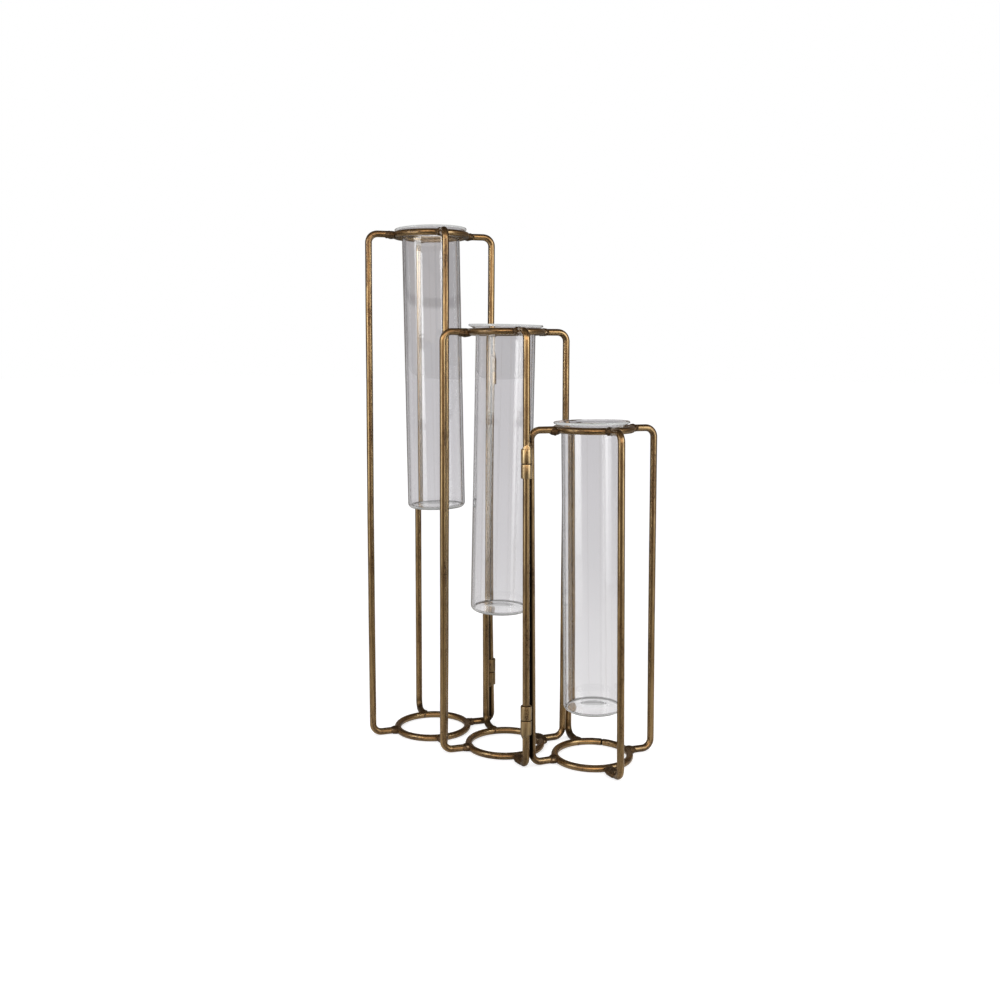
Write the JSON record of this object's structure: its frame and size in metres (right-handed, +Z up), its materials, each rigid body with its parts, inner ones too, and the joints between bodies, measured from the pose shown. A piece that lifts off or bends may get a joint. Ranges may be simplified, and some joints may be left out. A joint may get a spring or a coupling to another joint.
{
  "type": "folding bud vase",
  "caption": "Folding row of bud vases: open brass wire frames of stepped height, joined side by side by sleeve hinges, each with a flared clear glass tube hanging in its top ring.",
  "frame": {"origin": "on the ground under the middle of the row's outline, at the axis of the middle frame along the row", "axes": "+X along the row from the tall frame to the short one, +Y from the front to the back, +Z up"},
  "size_m": [0.1846, 0.0738, 0.3472],
  "materials": {
    "antique_brass": "brass wire with a mottled brown antique patina, satin",
    "hinge_brass": "brass sleeve, yellower and less brown than the wire, satin",
    "clear_glass": "clear colourless glass, polished"
  },
  "bodies": {
    "tall_frame": {"tall_top_ring": "antique_brass", "tall_bottom_ring": "antique_brass", "tall_upright_front_left": "antique_brass", "tall_upright_front_right": "antique_brass", "tall_upright_back_right": "antique_brass", "tall_upright_back_left": "antique_brass", "back_hinge_upper_collar": "hinge_brass", "back_hinge_lower_collar": "hinge_brass"},
    "middle_frame": {"middle_top_ring": "antique_brass", "middle_bottom_ring": "antique_brass", "middle_upright_front_left": "antique_brass", "middle_upright_front_right": "antique_brass", "middle_upright_back_right": "antique_brass", "middle_upright_back_left": "antique_brass", "back_hinge_upper_knuckle": "hinge_brass", "back_hinge_lower_knuckle": "hinge_brass", "front_hinge_upper_collar": "hinge_brass", "front_hinge_lower_collar": "hinge_brass"},
    "short_frame": {"short_top_ring": "antique_brass", "short_bottom_ring": "antique_brass", "short_upright_front_left": "antique_brass", "short_upright_front_right": "antique_brass", "short_upright_back_right": "antique_brass", "short_upright_back_left": "antique_brass", "front_hinge_upper_knuckle": "hinge_brass", "front_hinge_lower_knuckle": "hinge_brass"},
    "tall_tube": {"tall_glass_tube": "clear_glass"},
    "middle_tube": {"middle_glass_tube": "clear_glass"},
    "short_tube": {"short_glass_tube": "clear_glass"}
  },
  "joints": [
    {"name": "back_hinge", "type": "hinge", "parent": "tall_frame", "child": "middle_frame", "pos_m": [-0.03, 0.03336, 0], "axis": [0, 0, 1], "range_deg": [0, 175]},
    {"name": "front_hinge", "type": "hinge", "parent": "middle_frame", "child": "short_frame", "pos_m": [0.03, -0.03336, 0], "axis": [0, 0, -1], "range_deg": [0, 180]},
    {"name": "tall_tube_lift", "type": "slide", "parent": "tall_frame", "child": "tall_tube", "axis": [-0.0209, 0, 0.9998], "range_m": [0, 0.2]},
    {"name": "middle_tube_lift", "type": "slide", "parent": "middle_frame", "child": "middle_tube", "axis": [0.0227, 0, 0.9997], "range_m": [0, 0.2]},
    {"name": "short_tube_lift", "type": "slide", "parent": "short_frame", "child": "short_tube", "axis": [-0.0122, 0, 0.9999], "range_m": [0, 0.2]}
  ]
}
